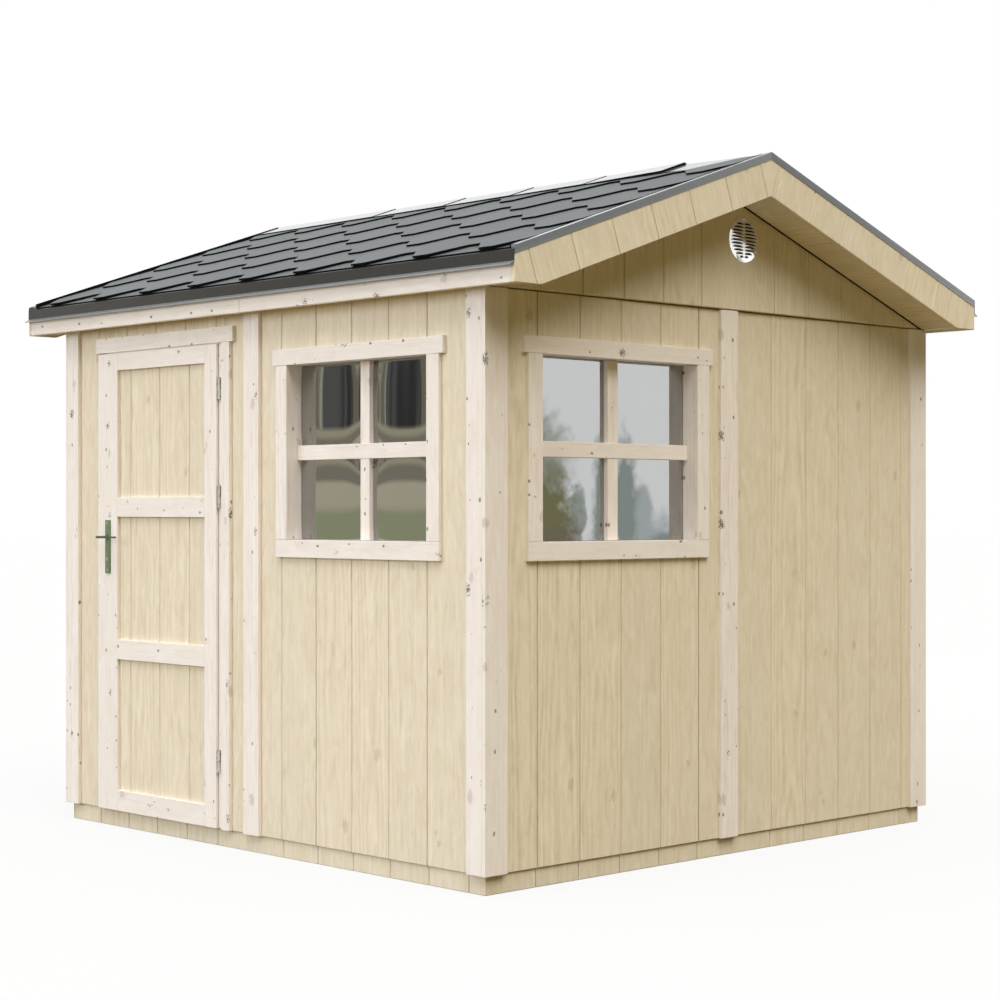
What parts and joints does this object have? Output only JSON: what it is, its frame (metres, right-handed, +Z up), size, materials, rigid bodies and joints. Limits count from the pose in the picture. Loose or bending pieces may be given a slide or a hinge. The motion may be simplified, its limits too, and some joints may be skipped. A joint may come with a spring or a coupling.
{
  "type": "garden shed",
  "caption": "Garden shed of vertical boards with a framed hinged door, barred windows, corner boards and a shingled saddle roof with metal edge trim.",
  "frame": {"origin": "middle of the shed's bounding box, on the ground", "axes": "+Z up, +X along the ridge towards the window gable, the door wall faces -Y"},
  "size_m": [2.788, 2.422, 2.404],
  "materials": {
    "wall_boards": "planed spruce boards with a clear impregnation",
    "trim_boards": "planed pale pine boards with small knots",
    "inner_timber": "rough sawn spruce",
    "floor_boards": "planed spruce boards",
    "roof_timber": "planed spruce boards",
    "shingle": "mineral grit on bitumen felt",
    "eaves_sheet": "folded sheet with an anthracite coat",
    "verge_sheet": "folded sheet with a grey coat",
    "vent_metal": "pressed louvres",
    "hinge_metal": "zinc plated",
    "handle_metal": "satin coat",
    "window_glass": "clear pane"
  },
  "bodies": {
    "shed": {"plinth": "wall_boards", "floor_joists": "inner_timber", "floor": "floor_boards", "front_wall_left": "wall_boards", "front_wall_over_door": "wall_boards", "front_wall_right": "wall_boards", "right_wall": "wall_boards", "back_wall": "wall_boards", "left_wall": "wall_boards", "right_gable": "wall_boards", "left_gable": "wall_boards", "front_studs": "inner_timber", "back_studs": "inner_timber", "right_studs": "inner_timber", "left_studs": "inner_timber", "corner_boards": "trim_boards", "joint_battens": "trim_boards", "door_casing": "trim_boards", "front_window_casing": "trim_boards", "front_window_lining": "trim_boards", "front_window_glass": "window_glass", "front_window_beads": "inner_timber", "side_window_casing": "trim_boards", "side_window_lining": "trim_boards", "side_window_glass": "window_glass", "side_window_beads": "inner_timber", "gable_vents": "vent_metal", "roof_boards": "roof_timber", "roof_purlins": "inner_timber", "bargeboards": "roof_timber", "verge_soffits": "roof_timber", "fascias": "trim_boards", "eaves_soffits": "roof_timber", "eaves_trim": "eaves_sheet", "verge_trim": "verge_sheet", "shingles_front": "shingle", "shingles_back": "shingle", "ridge_caps": "shingle", "frame_hinges": "hinge_metal"},
    "door": {"door_boards": "wall_boards", "door_frame": "trim_boards", "door_hinges": "hinge_metal", "handle_plate": "handle_metal"},
    "lever": {"handle_lever": "handle_metal"}
  },
  "joints": [
    {"name": "door_swing", "type": "hinge", "parent": "shed", "child": "door", "pos_m": [-0.191, -1.141, 0.9], "axis": [0, 0, 1], "range_deg": [0, 110]},
    {"name": "lever_press", "type": "hinge", "parent": "door", "child": "lever", "pos_m": [-0.898, -1.17, 1.09], "axis": [0, 1, 0], "range_deg": [0, 40], "stiffness_Nm_per_rad": 0.6, "springref_deg": -22.92}
  ]
}
